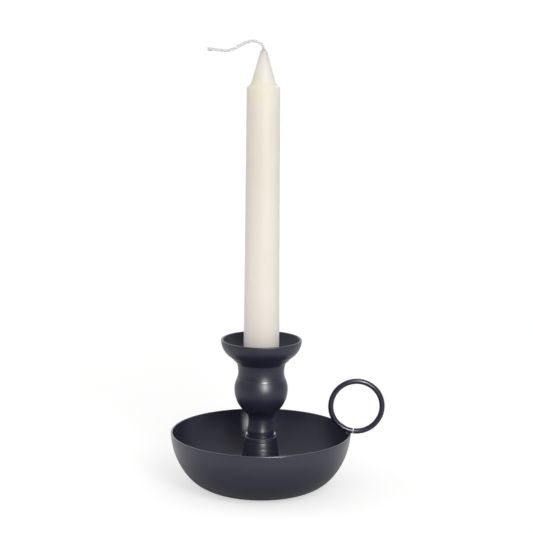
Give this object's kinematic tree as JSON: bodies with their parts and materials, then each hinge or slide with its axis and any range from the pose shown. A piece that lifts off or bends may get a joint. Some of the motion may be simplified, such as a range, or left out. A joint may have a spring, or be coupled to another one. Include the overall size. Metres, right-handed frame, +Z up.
{
  "type": "chamberstick",
  "caption": "Chamberstick: a deep round drip pan with a wire finger ring, a turned stem and a flared cup whose socket holds a tapered candle that lifts out.",
  "frame": {"origin": "middle of the pan's flat underside, where it stands on a table", "axes": "+Z up along the stem and the candle, +X towards the finger ring"},
  "size_m": [0.1343, 0.1132, 0.2805],
  "materials": {
    "black_metal": "satin blue-black",
    "zinc_steel": "zinc plated",
    "ivory_wax": "smooth wax",
    "wick_cotton": "waxed cotton braid"
  },
  "bodies": {
    "holder": {"drip_pan": "black_metal", "stem_foot": "black_metal", "baluster": "black_metal", "candle_cup": "black_metal", "candle_socket": "black_metal", "tie_bolt": "zinc_steel", "base_washer": "zinc_steel", "base_nut": "zinc_steel", "finger_ring": "black_metal", "ring_braze": "black_metal"},
    "candle": {"candle": "ivory_wax", "wick_core": "wick_cotton", "wick_tail": "wick_cotton"}
  },
  "joints": [
    {"name": "candle_lift", "type": "slide", "parent": "holder", "child": "candle", "axis": [0, 0, 1], "range_m": [0, 0.04]}
  ]
}
